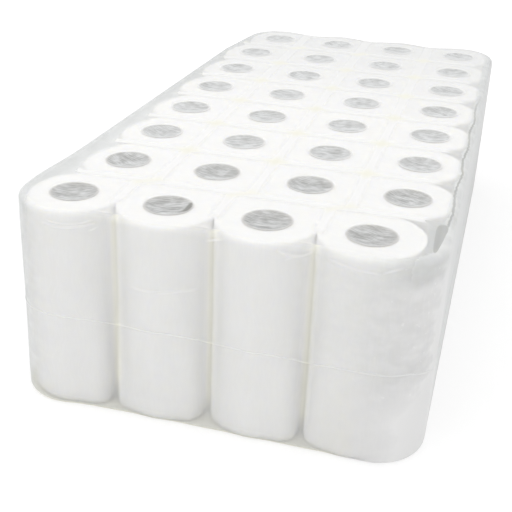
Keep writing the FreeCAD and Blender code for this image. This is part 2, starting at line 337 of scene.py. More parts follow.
def roll_tree(name, finish):
    """Rounds, presses and crushes a turned blank and sets it in its place in the pack."""
    labels = [f"{force} {side}" for force in ("Reach", "Crush") for side in SIDES]
    labels += [f"Swell {side} {end}" for side in SIDES[:2] for end in SIDES[2:]]
    labels += ["Centre", "Edge", "Foot", "Lip", "Low front", "Sheet angle", "Sheet step", "Seed"]
    tree = shaping_tree(name, labels)
    n = Nodes(tree)
    given = n.given()
    x0, y0, z0 = n.parts(n.add("GeometryNodeInputPosition"))
    radius = n.math("SQRT", n.plus(n.power(x0, 2.0), n.power(y0, 2.0)))
    sweep = n.math("ARCTAN2", y0, x0)
    angle = n.plus(sweep, given["Sheet angle"])
    cos, sin = n.math("COSINE", angle), n.math("SINE", angle)
    r, z = rounded_section(n, radius, z0, given, crushed(n, cos, sin, given))
    # the bore keeps to its core: only the outer turns move
    skin = n.ramp(radius, ROLL_BORE + FIRM_TURNS, ROLL_RADIUS)
    r = n.plus(r, n.times(swelling(n, angle, cos, sin, z0, given), skin))
    # the last sheet ends in a step
    wound = n.math("FRACT", n.plus(n.math("DIVIDE", sweep, 2 * math.pi), 1.0))
    r = n.minus(r, n.times(wound, given["Sheet step"], skin))
    # slow unevenness of a hand-soft winding, and of its upper end
    spot = n.join(n.times(cos, 1.6), n.times(sin, 1.6), n.times(z0, 9.0))
    soft = n.noise(spot, 1.0, 2.0, W=given["Seed"], Roughness=0.5)
    r = n.plus(r, n.times(n.minus(soft, 0.6), WINDING_PLAY, skin))
    end = n.join(n.times(cos, radius, 34.0), n.times(sin, radius, 34.0), 0.0)
    wave = n.times(n.noise(end, 1.0, 1.0, W=given["Seed"]), n.ramp(radius, ROLL_RADIUS, 0.034))
    z = n.minus(z, n.times(wave, END_PLAY, n.ramp(z, ROLL_HEIGHT * 0.9, ROLL_HEIGHT)))
    x, y = n.times(r, cos), n.times(r, sin)
    shape = keep_winding(n, given["Geometry"], n.join(x, y, z))
    # its neighbours press it flat on each side
    x = n.clamp(x, n.times(given["Reach left"], -1.0), given["Reach right"])
    y = n.clamp(y, n.times(given["Reach front"], -1.0), given["Reach back"])
    moved = n.vector("ADD", n.join(x, y, z), given["Centre"])
    shape = n.add("GeometryNodeSetPosition", 0, {"Geometry": shape, "Position": moved})
    # the flat end is shaded flat right out to its pressed edge
    rise = n.vector("SUBTRACT", n.add("GeometryNodeInputPosition"), given["Centre"])
    level = n.math("GREATER_THAN", n.parts(rise)[2], ROLL_HEIGHT - 0.0013)
    shape = n.add(
        "GeometryNodeSetShadeSmooth", 0,
        {"Geometry": shape, "Selection": level, "Shade Smooth": False},
    )
    finished(n, shape, finish)
    return tree


def fibre_group():
    """Fibres of wound paper or board, drawn out by the given stretch of each direction."""
    group = bpy.data.node_groups.new("fibres", "ShaderNodeTree")
    group.interface.new_socket("Fibre", in_out="OUTPUT", socket_type="NodeSocketFloat")
    add_inputs(group, ("Place", "Stretch", "Detail"))
    n = Nodes(group)
    given = n.given()
    drawn = n.vector("MULTIPLY", given["Place"], given["Stretch"])
    n.hand_over(n.noise(drawn, 1.0, given["Detail"]))
    return group


fibres = fibre_group()


def fibre(n, place, stretch, detail):
    """The shared fibre pattern in a material, with that material's own values."""
    values = {"Place": place, "Stretch": stretch, "Detail": detail}
    return n.add("ShaderNodeGroup", 0, values, node_tree=fibres)


def plain_material(name, roughness):
    """A new material with its Principled shader and its tree's builder."""
    made = bpy.data.materials.new(name)
    made.use_nodes = True
    shader = made.node_tree.nodes["Principled BSDF"]
    shader.inputs["Roughness"].default_value = roughness
    return made, shader, Nodes(made.node_tree)


def surface(n, shader, colour, relief, strength, depth):
    """Gives the shader its colour and the bump that the relief raises."""
    values = {"Strength": strength, "Distance": depth, "Height": relief}
    bump = n.add("ShaderNodeBump", 0, values)
    n.tree.links.new(colour, shader.inputs["Base Color"])
    n.tree.links.new(bump, shader.inputs["Normal"])


def paper_finish():
    """White tissue: fine vertical creping on the side, turns on the ends, a warm depth."""
    made, shader, n = plain_material("towel_paper", 0.92)
    winding = n.mark("winding", "Vector")
    r = n.vector("LENGTH", n.vector("MULTIPLY", winding, (1, 1, 0)))
    top = n.ramp(n.parts(winding)[2], ROLL_HEIGHT - 0.004, ROLL_HEIGHT - 0.001)
    crepe = fibre(n, winding, (700, 700, 60), 3.0)
    turns = n.math("SINE", n.times(r, 2 * math.pi / TURN_SPACING))
    relief = n.mix(top, crepe, n.fused(turns, 0.35, 0.5))
    cloud = n.noise(n.add("ShaderNodeTexCoord", "Object"), 26.0, 3.0)
    tone = n.fused(n.minus(cloud, 0.5), 0.5, relief)
    colour = n.blend(n.ramp(tone, 0.1, 1.0), PAPER_SHADED, PAPER_WHITE)
    surface(n, shader, colour, relief, 0.35, 0.0004)
    shader.inputs["Specular IOR Level"].default_value = 0.2
    shader.inputs["Subsurface Weight"].default_value = 0.6
    shader.inputs["Subsurface Radius"].default_value = (1.0, 0.95, 0.72)
    shader.inputs["Subsurface Scale"].default_value = 0.003
    return made


def roll_values(row, column):
    """What shapes one roll: its place, the reach of its neighbours and its free sides."""
    low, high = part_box(f"paper_roll_r{row}c{column}")
    centre = Vector((*roll_centre(row, column), low.z))
    free = (column == 1, column == ROLLS_ACROSS, row == 1, row == ROLLS_DEEP)
    reach = (centre.x - low.x, high.x - centre.x, centre.y - low.y, high.y - centre.y)
    crush = (CRUSH_LEFT, CRUSH_RIGHT * (row > 1), CRUSH_FRONT[column - 1], CRUSH_BACK)
    rng = np.random.default_rng(40 * row + column)
    values = {
        "Centre": tuple(centre),
        "Edge": EDGE_ROUND,
        "Foot": FOOT_ROUND,
        "Lip": LIP_ROUND,
        "Low front": float(row == 1),
        "Sheet angle": float(rng.uniform(0, 2 * math.pi)),
        "Sheet step": SHEET_STEP,
        "Seed": float(row * ROLLS_ACROSS + column),
    }
    for side, is_free, to_side, give in zip(SIDES, free, reach, crush):
        values["Reach " + side] = to_side + HALF_GAP * (not is_free)
        values["Crush " + side] = give * is_free
    for side, is_free, front_swell in zip(SIDES, free, (FRONT_SWELL_LEFT, FRONT_SWELL_RIGHT)):
        held = 0.0 if is_free else SWELL
        values[f"Swell {side} front"] = front_swell[column - 1] if row == 1 else held
        values[f"Swell {side} back"] = 0.0 if row == ROLLS_DEEP else held
    return values


press = roll_tree("wound_roll", paper_finish())
roll_blank = turned_blank(
    "roll_blank", ROLL_BORE, ROLL_RADIUS, ROLL_HEIGHT, roll_section(), ROLL_STEPS, STEP_ANGLE
)
for row in range(1, ROLLS_DEEP + 1):
    for column in range(1, ROLLS_ACROSS + 1):
        mesh = run_tree(roll_blank, press, roll_values(row, column))
        roll = placed(f"towel_roll_r{row}c{column}", mesh)
        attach(roll, "root")
        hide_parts(f"paper_roll_r{row}c{column}")
bpy.data.objects.remove(roll_blank)

# ----------------------------------------
# Core tubes: grey-brown cardboard wound in a spiral strip and cut off a little short
# of the roll. Every roll is wound on its own tube; the four of one row are one piece.

TUBE_EASE = 0.0001
TUBE_WALL = 0.0008
TUBE_CUT = 0.0006
TUBE_STEPS = 72
STRIP_WIDTH = 0.052
BOARD_DARK, BOARD_PALE = (0.47, 0.44, 0.39, 1), (0.6, 0.57, 0.52, 1)


def tube_section():
    """Where the loops of a tube lie on its section, in shares of its wall and height."""
    outside = [(1.0, b) for b in (0.0, 0.02, 0.5, 0.98, 1.0)]
    inside = [(0.0, b) for b in (1.0, 0.98, 0.75, 0.5, 0.25, 0.02)]
    return [(0.0, 0.0)] + outside + inside


def tube_tree(name, finish):
    """Sets copies of a tube in a straight line, one for each roll of the row."""
    tree = shaping_tree(name, ("Centre", "Step"))
    n = Nodes(tree)
    given = n.given()
    tube = keep_winding(n, given["Geometry"], n.add("GeometryNodeInputPosition"))
    line = n.add(
        "GeometryNodeMeshLine", 0,
        {"Count": ROLLS_ACROSS, "Start Location": given["Centre"], "Offset": given["Step"]},
        mode="OFFSET", count_mode="TOTAL",
    )
    tubes = n.add("GeometryNodeInstanceOnPoints", 0, {"Points": line, "Instance": tube})
    finished(n, tubes, finish)
    return tree


def board_finish():
    """Grey-brown board: long fibres, and a darker line where the spiral strips meet."""
    made, shader, n = plain_material("core_board", 0.85)
    winding = n.mark("winding", "Vector")
    x, y, z = n.parts(winding)
    sweep = n.math("DIVIDE", n.math("ARCTAN2", y, x), 2 * math.pi)
    strip = n.math("FRACT", n.plus(n.math("DIVIDE", z, STRIP_WIDTH), sweep))
    joint = n.ramp(n.apart(n.minus(strip, 0.5)), 0.0, 0.02, 1.0, 0.0)
    fibred = n.ramp(fibre(n, winding, (900, 900, 260), 4.0), 0.3, 0.7)
    tone = n.fused(joint, -0.35, fibred)
    colour = n.blend(n.clamp(tone, 0.0, 1.0), BOARD_DARK, BOARD_PALE)
    surface(n, shader, colour, tone, 0.3, 0.0003)
    shader.inputs["Specular IOR Level"].default_value = 0.25
    return made


row_of_tubes = tube_tree("tube_row", board_finish())
tube_low, tube_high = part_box("core_tubes_r1")
tube_radius = ROLL_BORE - TUBE_EASE
tube_blank = turned_blank(
    "tube_blank", tube_radius - TUBE_WALL, tube_radius,
    tube_high.z - tube_low.z - 2 * TUBE_CUT, tube_section(), TUBE_STEPS,
)
for row in range(1, ROLLS_DEEP + 1):
    first, last = roll_centre(row, 1), roll_centre(row, ROLLS_ACROSS)
    step = (last[0] - first[0]) / (ROLLS_ACROSS - 1)
    mesh = run_tree(
        tube_blank, row_of_tubes,
        {"Centre": (*first, tube_low.z + TUBE_CUT), "Step": (step, 0.0, 0.0)},
    )
    tubes = placed(f"core_tube_row_{row}", mesh)
    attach(tubes, "root")
    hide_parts(f"core_tubes_r{row}")
bpy.data.objects.remove(tube_blank)

# ----------------------------------------
# Film: one bag of thin clear polythene, welded from two webs and shrunk tight round
# all the rolls. It bridges the gaps between them and sags over the core holes in small
# folds, and its weld runs round it near half height.

film_low, film_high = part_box("film_wrap")
FILM_TOP = film_high.z
FILM_EASE = 0.0009
FOOT_RADIUS = 0.006
PLAN_SHARE = 0.72  # the plan is taken at this share of the height, clear of the weld
STEP_FRONT, STEP_RIGHT, STEP_REST = 0.0026, 0.0032, 0.0045
WALK_SAMPLES = 4000
WELD_SHARE = 0.5
WELD_HALF = 0.003  # a share of the wall's height too
WELD_PROUD = 0.0004
WELD_PULL = 0.16  # how far from the weld the film is drawn to its height, as a share
WELD_HEIGHT = 0.098
# how much of the rolls' crushed edge the film's own top edge takes up
FOLLOW_FRONT, FOLLOW_REST = 0.85, 0.4
# loose film at the left end of the front: place, reach, and how far it stands out
LOOSE_ABOVE = ((-0.208, -0.325), 0.05, 0.0045)
LOOSE_BELOW = ((-0.19, -0.385), 0.055, 0.0055)
SCALLOP, FULL_FEET = 0.004, 0.003  # at the last row's top edge, at the front's foot
RIPPLE_CALM, RIPPLE_LOOSE, RIPPLE_TOP = 0.0003, 0.0007, 0.00012
CORNER_REACH = 0.075  # the film hangs free this far round the right front corner
# the milky line of painted light in each valley of the front, warm over its shade: its half
# width, how far aside each lies
VALLEY_HALF, VALLEY_ASIDE = 0.0055, (0.0135, 0.0105, 0.006)
# height of the weld along the front: distance from the middle, height
WELD_FRONT = (
    (-0.21, 0.103), (-0.169, 0.1055), (-0.139, 0.1035), (-0.091, 0.104), (-0.044, 0.104),
    (0.006, 0.1022), (0.053, 0.102), (0.101, 0.0995), (0.132, 0.102), (0.19, 0.103),
    (0.205, 0.097), (0.21, 0.092),
)


def cut_loops(height):
    """The closed runs of points where a level plane cuts the film's solid."""
    cut = bmesh.new()
    cut.from_mesh(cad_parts["film_wrap"].data)
    bmesh.ops.remove_doubles(cut, verts=cut.verts, dist=1e-6)
    bmesh.ops.bisect_plane(
        cut, geom=cut.verts[:] + cut.edges[:] + cut.faces[:], plane_co=(0, 0, height),
        plane_no=(0, 0, 1), clear_inner=True, clear_outer=True,
    )
    loops, left = [], set(cut.verts)
    while left:
        here, loop = left.pop(), []
        while here:
            loop.append([here.co.x, here.co.y])
            left.discard(here)
            joined = [edge.other_vert(here) for edge in here.link_edges]
            here = next((vert for vert in joined if vert in left), None)
        loops.append(np.array(loop))
    cut.free()
    return loops


def plan_area(loop):
    """The area in the loop, above zero where it runs anticlockwise."""
    x, y = loop.T
    return 0.5 * float(np.sum(x * np.roll(y, -1) - np.roll(x, -1) * y))


def film_plan(height):
    """The film's outer plan at this height, anticlockwise from its leftmost point."""
    largest = max(cut_loops(height), key=lambda loop: abs(plan_area(loop)))
    if plan_area(largest) < 0:
        largest = largest[::-1]
    start = np.lexsort((largest[:, 1], largest[:, 0]))[0]
    return np.roll(largest, -start, axis=0)


def wall_spacing(points):
    """How far apart the wall's points lie: closest at the front, then at the right."""
    aside = np.where(points[:, 0] > 0.15, STEP_RIGHT, STEP_REST)
    return np.where(points[:, 1] < film_low.y + 0.06, STEP_FRONT, aside)


def even_steps(loop, spacing):
    """The closed run walked again in steps that spacing(points) gives, and how far each is."""
    closed = np.vstack([loop, loop[:1]])
    along = np.r_[0, np.cumsum(np.linalg.norm(np.diff(closed, axis=0), axis=1))]
    length = along[-1]

    def at_length(at):
        return np.c_[np.interp(at, along, closed[:, 0]), np.interp(at, along, closed[:, 1])]

    fine = np.linspace(0, length, WALK_SAMPLES, endpoint=False)
    cost = np.r_[0, np.cumsum(1 / spacing(at_length(fine)))]
    steps = int(cost[-1] * length / WALK_SAMPLES)
    at = np.interp(np.arange(steps) * cost[-1] / steps, cost, np.arange(WALK_SAMPLES + 1))
    at = at * length / WALK_SAMPLES
    return at_length(at), at


def facing(loop):
    """The way that the film faces at each point of its plan, smoothed over its dips."""
    tangent = np.roll(loop, -2, axis=0) - np.roll(loop, 2, axis=0)
    tangent /= np.linalg.norm(tangent, axis=1)[:, None]
    out = np.c_[tangent[:, 1], -tangent[:, 0]]
    for _ in range(6):
        out = (np.roll(out, 1, axis=0) + 2 * out + np.roll(out, -1, axis=0)) / 4
    return out / np.linalg.norm(out, axis=1)[:, None]


def soft_step(value, low, high):
    """0 up to the low value, 1 from the high one on, and a smooth rise between them."""
    t = np.clip((value - low) / (high - low), 0, 1)
    return t * t * (3 - 2 * t)


def near(points, spot, reach):
    """1 at the spot, fading out over its reach."""
    return np.exp(-((np.linalg.norm(points - spot, axis=1) / reach) ** 2))


def wander(points, scale, seed):
    """Smooth noise from -1 to 1 at each point."""
    offset = Vector((seed * 7.31, seed * 3.17, seed * 5.53))
    return np.array([noise.noise(Vector(p) * scale + offset) for p in points.tolist()])


plan, plan_at = even_steps(film_plan(FILM_TOP * PLAN_SHARE), wall_spacing)
around = len(plan)
outward = facing(plan)
to_right, to_back = np.maximum(outward[:, 0], 0) ** 2, np.maximum(outward[:, 1], 0) ** 2
to_left, to_front = np.maximum(-outward[:, 0], 0) ** 2, np.maximum(-outward[:, 1], 0) ** 2
front_x = [roll_centre(1, column)[0] for column in range(1, ROLLS_ACROSS + 1)]
# how far along the front row each point lies, as a number of rolls
front_rolls = np.interp(plan[:, 0], front_x, range(ROLLS_ACROSS))


def film_shoulder():
    """The radius of the film's top edge, which follows the crushed rolls under it."""
    crush_front = FOLLOW_FRONT * np.interp(plan[:, 0], front_x, CRUSH_FRONT)
    ends = crush_front * to_front + FOLLOW_REST * CRUSH_BACK * to_back
    sides = CRUSH_RIGHT * to_right + FOLLOW_REST * CRUSH_LEFT * to_left
    return FILM_EASE + EDGE_ROUND + sides + ends


def weld_line():
    """The height of the weld, as it was pulled at the front and slightly wavy elsewhere."""
    front = np.interp(plan[:, 0], *np.array(WELD_FRONT).T)
    aside = soft_step(plan[:, 1], film_low.y + 0.03, film_low.y + 0.12)
    drift = 0.004 * wander(np.c_[plan, np.zeros(around)], 9.0, 3)
    return front * (1 - aside) + (WELD_HEIGHT + drift) * aside


def wall_shares():
    """How far up the wall its rings lie, from 0 to 1: closer at the weld and near the top."""
    even = np.r_[np.linspace(0, 0.93, 30), 0.945, 0.955, 0.965, 0.974, 0.983, 0.992]
    shares = [share for share in even if abs(share - WELD_SHARE) > 0.02]
    for aside in (0.0018, 0.0045, 0.009, 0.018):
        shares += [WELD_SHARE - aside, WELD_SHARE + aside]
    return sorted(shares + [WELD_SHARE])


def film_rings():
    """Each ring of the bag from its foot up: inset, height and distance from the weld."""
    shoulder, weld = film_shoulder(), weld_line()
    rings = []
    for turn in np.radians([8, 26, 45, 64, 82]):
        rings.append((FOOT_RADIUS * (1 - np.sin(turn)), FOOT_RADIUS * (1 - np.cos(turn)), 1.0))
    rise = FILM_TOP - shoulder - FOOT_RADIUS
    for share in wall_shares():
        from_weld = abs(share - WELD_SHARE)
        pull = math.exp(-(((share - WELD_SHARE) / WELD_PULL) ** 2))
        drawn = (weld - (FOOT_RADIUS + rise * WELD_SHARE)) * pull
        rings.append((0.0, FOOT_RADIUS + rise * share + drawn, from_weld))
    for turn in np.radians([8, 20, 32, 45, 57, 68, 79, 90]):
        inset, drop = shoulder * (1 - np.cos(turn)), shoulder * (1 - np.sin(turn))
        rings.append((inset, FILM_TOP - drop, 1.0))
    rings.append((shoulder + 0.003, FILM_TOP, 1.0))
    return rings


def paint_valley_light():
    """Milky film, painted light and warm over the shade, where it leans on the right-hand roll of
    each valley of the front.
    """
    valley_light = np.zeros(around)
    for column, aside in enumerate(VALLEY_ASIDE):
        middle = (front_x[column] + front_x[column + 1]) / 2 + aside
        valley_light = np.maximum(valley_light, np.exp(-(((plan[:, 0] - middle) / VALLEY_HALF) ** 2)))
    return valley_light


def back_scallops():
    """How the film follows the last row of rolls: out at each one, in between them."""
    first_x, last_x = roll_centre(ROLLS_DEEP, 1)[0], roll_centre(ROLLS_DEEP, ROLLS_ACROSS)[0]
    share = (np.clip(plan[:, 0], first_x, last_x) - first_x) / (last_x - first_x)
    rolls = share * (ROLLS_ACROSS - 1)
    return (np.cos(2 * math.pi * rolls) - 0.3) * to_back


valley_light, scallops = paint_valley_light(), back_scallops()
valley_feet = (1 - np.cos(2 * math.pi * front_rolls)) / 2 * to_front
right_corner = np.array([film_high.x, film_low.y])
beside = near(plan, right_corner, CORNER_REACH)


def film_unevenness(height, free):
    """Slow ripples of the wall, and looser ones where the film hangs free."""
    on_wall = soft_step(height, 0.004, 0.03) * (1 - soft_step(height, 0.19, 0.2168))
    upright = np.c_[plan_at * 40, height * 7, np.zeros(around)]
    slanting = np.c_[plan_at * 30 + height * 16, height * 15 - plan_at * 7, np.ones(around)]
    calm = RIPPLE_CALM * (1 + wander(upright, 1.0, 1)) * on_wall * (1 - 0.8 * to_right)
    return calm + RIPPLE_LOOSE * (1 + wander(slanting, 1.0, 2)) * free


def film_bulges(height):
    """Loose film at the left of the front, the last row's scallops, the front's full feet."""
    spot, reach, loose = LOOSE_ABOVE
    out = loose * near(plan, spot, reach) * soft_step(height, 0.08, 0.2)
    spot, reach, loose = LOOSE_BELOW
    out += loose * near(plan, spot, reach) * np.clip(1 - height / 0.2, 0, 1)
    out += SCALLOP * scallops * soft_step(height, 0.1, 0.2)
    out += FULL_FEET * valley_feet * np.clip(1 - height / 0.12, 0, 1)
    return out


def wall_ring(inset, height, from_weld):
    """The points of one ring of the wall, and the marks that the film's finish reads."""
    inset, height = np.broadcast_to(inset, around), np.broadcast_to(height, around)
    free = beside * (0.2 + 0.8 * soft_step(height, 0.05, 0.13))
    hazy = free * (1 - 0.75 * soft_step(height, 0.185, 0.205))
    bead = WELD_PROUD * (from_weld < WELD_HALF)
    push = film_unevenness(height, free) + bead + film_bulges(height)
    points = np.c_[plan - outward * inset[:, None] + outward * push[:, None], height]
    under = 1 - soft_step(height, 0.0, 0.008)
    low = 1 - soft_step(height, 0.05, 0.15)
    # painted light: a warm milky line over the shade of each valley
    line = 0.36 * valley_light * to_front * soft_step(height, 0.005, 0.05)
    milk_and_valley_light = np.maximum(np.maximum(0.35 * hazy, 0.5 * under), line)
    marks = {
        "slack": 0.03 + 0.04 * free,
        # cloud: milky film at the foot and at the free corner, with painted light over the
        # valleys
        "cloud": np.maximum(milk_and_valley_light, 0.6 * low * beside) + 0.13 * to_right,
        "weld": np.full(around, 0.55 * (bead > 0)),
        # where the finish paints the film in shade: the side walls and the free corner film
        "side": np.maximum(np.maximum(to_right, to_left), 0.75 * free),
        "open": np.zeros(around),
        "rim": np.zeros(around),
        "loose": beside ** 3 * soft_step(height, 0.05, 0.09),
        "fold": np.c_[height * 0.6, plan_at * 0.4, np.zeros(around)],
    }
    return points, marks


# the top: fine points over the core holes, coarser ones between them
TOP_STEP = 0.0018
ROW_SHARE = 0.866  # distance between two rows of points, as a share of the step
HOLE_RIM = 0.0235
HOLE_SAG, HOLE_CRUMPLE, BRIDGE_SAG = 0.0030, 0.0006, 0.0004
FOLD_LEAN = (-28, 22)  # the folds over a hole lean by this many degrees
FINE_REACH = 0.027
# holes where the film stands open at one end, each painted in shade there: row, column, start at
# the right, front and back of the opening, darkness
OPENINGS = (
    (1, 2, 0.0165, -0.0105, 0.0135, 1.0), (2, 2, 0.009, -0.012, 0.014, 0.3),
    (1, 4, 0.0165, 0.003, 0.02, 0.3), (2, 4, 0.012, -0.01, 0.016, 0.12),
)
centres = np.array([
    roll_centre(row, column)
    for row in range(1, ROLLS_DEEP + 1)
    for column in range(1, ROLLS_ACROSS + 1)
])


def inside(points, loop):
    """Which points lie in the closed loop."""
    found = np.zeros(len(points), bool)
    for (x1, y1), (x2, y2) in zip(loop, np.roll(loop, -1, axis=0)):
        if y1 == y2:
            continue
        spans = (points[:, 1] > min(y1, y2)) & (points[:, 1] <= max(y1, y2))
        at = x1 + (points[:, 1] - y1) * (x2 - x1) / (y2 - y1)
        found ^= spans & (points[:, 0] < at)
    return found


def top_lattice(rim):
    """Points in a lattice of triangles, with only each fourth one kept away from the holes."""
    kept = []
    for j in range(int((film_high.y - film_low.y) / (TOP_STEP * ROW_SHARE)) + 1):
        y = film_low.y + j * TOP_STEP * ROW_SHARE
        x = np.arange(film_low.x + (j % 2) * TOP_STEP / 2, film_high.x, TOP_STEP)
        spots = np.c_[x, np.full(len(x), y)]
        to_hole = np.min(np.linalg.norm(spots[:, None] - centres[None], axis=2), axis=1)
        coarse = (np.arange(len(x)) % 2 == 0) & (j % 2 == 0)
        kept.append(spots[(to_hole < FINE_REACH) | coarse])
    kept = np.vstack(kept)
    return kept[inside(kept, rim - outward * TOP_STEP)]


def top_net(rim):
    """The top's points, those of its rim first, and the triangles between them."""
    spots = [Vector(p) for p in np.vstack([rim, top_lattice(rim)]).tolist()]
    border = [(i, (i + 1) % around) for i in range(around)]
    spots, _, triangles, *_ = delaunay_2d_cdt(spots, border, [], 1, 1e-7)
    return np.array([tuple(p) for p in spots]), triangles


def hole_folds(top):
    """Each point's nearest hole, its distance, and its place along and across its folds."""
    distance = np.linalg.norm(top[:, None] - centres[None], axis=2)
    nearest, gap = distance.argmin(axis=1), distance.min(axis=1)
    lean = np.radians(np.random.default_rng(5).uniform(*FOLD_LEAN, len(centres)))
    x, y = (top - centres[nearest]).T
    cos, sin = np.cos(lean[nearest]), np.sin(lean[nearest])
    return nearest, gap, x * cos + y * sin, y * cos - x * sin


def top_openings(top):
    """Painted shade where the film stands open at the end of a hole, from 0 to 1."""
    opening_shade = np.zeros(len(top))
    for row, column, start, front, back, strength in OPENINGS:
        here = top - np.array(roll_centre(row, column))
        found = soft_step(here[:, 0] - 0.05 * here[:, 1], start - 0.0009, start + 0.0009)
        found *= soft_step(here[:, 1], front, front + 0.002)
        found *= 1 - soft_step(here[:, 1], back - 0.002, back)
        found *= 1 - soft_step(np.linalg.norm(here, axis=1), HOLE_RIM - 0.0013, HOLE_RIM + 0.0001)
        opening_shade = np.maximum(opening_shade, strength * found)
    return opening_shade


def top_film(top):
    """The film's height over each point of the top, and the marks that its finish reads."""
    nearest, gap, along, across = hole_folds(top)
    over_hole = 1 - soft_step(gap, HOLE_RIM - 0.0045, HOLE_RIM + 0.001)
    bridge = soft_step(gap, 0.050, 0.070)
    bend = 0.0035 * wander(np.c_[along, across, nearest * 0.31], 45.0, 4)
    ridges = np.c_[along * 45, (across + bend) * 260, nearest * 1.7]
    crumple = HOLE_CRUMPLE * (1 - 2 * np.abs(wander(ridges, 1.0, 6)) - 0.5) * over_hole
    sag = -HOLE_SAG * np.clip(1 - (gap / HOLE_RIM) ** 2, 0, 1) ** 0.8
    ripple = RIPPLE_TOP * (1 + wander(np.c_[top * 60, np.zeros(len(top))], 1.0, 8))
    ripple *= 1 - over_hole
    height = FILM_TOP + sag + crumple + ripple - BRIDGE_SAG * bridge
    # further back the film over the holes is seen at a lower angle, and looks milkier
    depth = soft_step(top[:, 1], -0.3, -0.1)
    taut = (0.02 + 0.12 * depth) * over_hole
    middle = 1 - soft_step(np.abs(top[:, 0]), 0.175, 0.19)
    # a milky band painted light over the shade at each hole's edge
    rim_light_band = np.exp(-(((gap - HOLE_RIM - 0.0002) / 0.0014) ** 2))
    nothing = np.zeros(len(top))
    marks = {
        "slack": np.maximum(over_hole, 0.1 * bridge) + 0.04,
        # milky film with warm painted light over the shaded gaps between the rolls, and milkier
        # over the holes further back
        "cloud": 0.38 * bridge * middle + taut,
        "weld": nothing,
        "side": nothing,
        # the openings' painted shade
        "open": top_openings(top),
        "rim": (0.2 + 0.25 * depth) * rim_light_band,
        "loose": nothing,
        "fold": np.c_[along, across, nearest + 1.0],
    }
    return height, marks


def film_faces(rings, triangles):
    """Quads up the wall, the triangles of the top, and one flat face underneath."""
    faces = []
    for low in range(0, (rings - 1) * around, around):
        for i in range(around):
            j = (i + 1) % around
            faces.append((low + i, low + j, low + around + j, low + around + i))
    last = (rings - 1) * around
    faces += [tuple(vert + last for vert in triangle) for triangle in triangles]
    return faces + [tuple(range(around - 1, -1, -1))]


def film_bag():
    """The bag's mesh, with the marks that its finish reads."""
    walls = [wall_ring(*ring) for ring in film_rings()]
    top, triangles = top_net(walls[-1][0][:, :2])
    height, top_marks = top_film(top)
    points = [ring for ring, _ in walls] + [np.c_[top, height][around:]]
    mesh = bpy.data.meshes.new("film_bag")
    mesh.from_pydata(np.vstack(points).tolist(), [], film_faces(len(walls), triangles))
    mesh.shade_smooth()
    for name, on_top in top_marks.items():
        values = np.concatenate([marks[name] for _, marks in walls] + [on_top[around:]])
        kind, field = ("FLOAT_VECTOR", "vector") if name == "fold" else ("FLOAT", "value")
        layer = mesh.attributes.new(name, kind, "POINT")
        layer.data.foreach_set(field, values.astype(np.float32).ravel())
    return mesh


# folds pressed into the film near its front edge: width and strength, then the
# distance from the middle and the height of its start, its middle and its end
# the finish paints each fold whiter, a milky crease with a painted highlight
FRONT_FOLDS = (
    (0.0013, 0.8, (-0.167, 0.2032), (-0.1405, 0.2016), (-0.1136, 0.2092)),
    (0.0011, 0.6, (-0.163, 0.2071), (-0.1403, 0.2049), (-0.1168, 0.2115)),
    (0.0016, 0.35, (-0.0786, 0.1489), (-0.0459, 0.1499), (-0.0111, 0.1581)),
    (0.0013, 0.7, (0.0625, 0.2101), (0.078, 0.2076), (0.0942, 0.214)),
    (0.0012, 0.6, (0.0693, 0.2024), (0.0723, 0.204), (0.0754, 0.2052)),
    (0.0014, 0.5, (0.1066, 0.2105), (0.128, 0.2058), (0.1561, 0.2053)),
    (0.0014, 0.5, (0.1561, 0.2053), (0.1668, 0.2096), (0.1746, 0.2123)),
    (0.0014, 0.8, (-0.0048, 0.2086), (0.0055, 0.2112), (0.0128, 0.2131)),
    (0.0012, 0.5, (-0.121, 0.2005), (-0.116, 0.2025), (-0.111, 0.206)),
)
# the film's own milkiness seen straight on, and what a slanting view adds to it
VEIL, VEIL_SLANT = 0.32, 0.6
# GAP_DARKNESS is the film's opacity where it is painted in the dark shade of gaps and openings
MOST_MILK, GAP_DARKNESS = 0.92, 0.72
# its shadow is lighter than its milk, as it passes most of the light on
SHADOW_SHARE = 0.3
TINT_TOP, TINT_BACK = (0.86, 0.86, 0.855, 1), (0.8, 0.805, 0.8, 1)
# the tints of the side walls and of the top's free edges are painted shade, greyer towards the
# back
TINT_SIDE_SHADE, TINT_SIDE_BACK_SHADE = (0.71, 0.725, 0.72, 1), (0.64, 0.655, 0.65, 1)
# the warm tint is painted bounce light over the valleys and gaps
TINT_WARM_BOUNCE, TINT_CORNER = (0.872, 0.862, 0.745, 1), (0.86, 0.858, 0.855, 1)
# the joint tint is painted light over the joints between the roll tops
TINT_JOINT_LIGHT, TINT_HOLE_SHADE = (0.905, 0.903, 0.895, 1), (0.77, 0.785, 0.79, 1)
# the dark gap tint is painted shade
TINT_FOLD_HIGHLIGHT, TINT_GAP_SHADE = (0.92, 0.92, 0.915, 1), (0.29, 0.295, 0.28, 1)
# the straight rows' outer rolls stand at these distances from the middle
LEFT_LINE = round(-roll_centre(2, 1)[0], 4)
RIGHT_LINE = round(roll_centre(2, ROLLS_ACROSS)[0], 4)
FIRST_JOINT = round(roll_centre(1, 1)[1] + ROLL_PITCH / 2, 4)
LAST_JOINT = round(roll_centre(ROLLS_DEEP, 1)[1] - ROLL_PITCH / 2, 4)
# the line of painted shade along the right, where the film's slack leaves the rolls, and the
# painted shade of the gap beside the first roll there
RIGHT_SHADE_LINE = 0.2025
GAP_PLACE, GAP_HALF = (0.1972, -0.337), (0.0042, 0.032)


def middle_joint(row):
    """Where the two middle rolls of a row meet."""
    return round((roll_centre(row, 2)[0] + roll_centre(row, 3)[0]) / 2, 5)


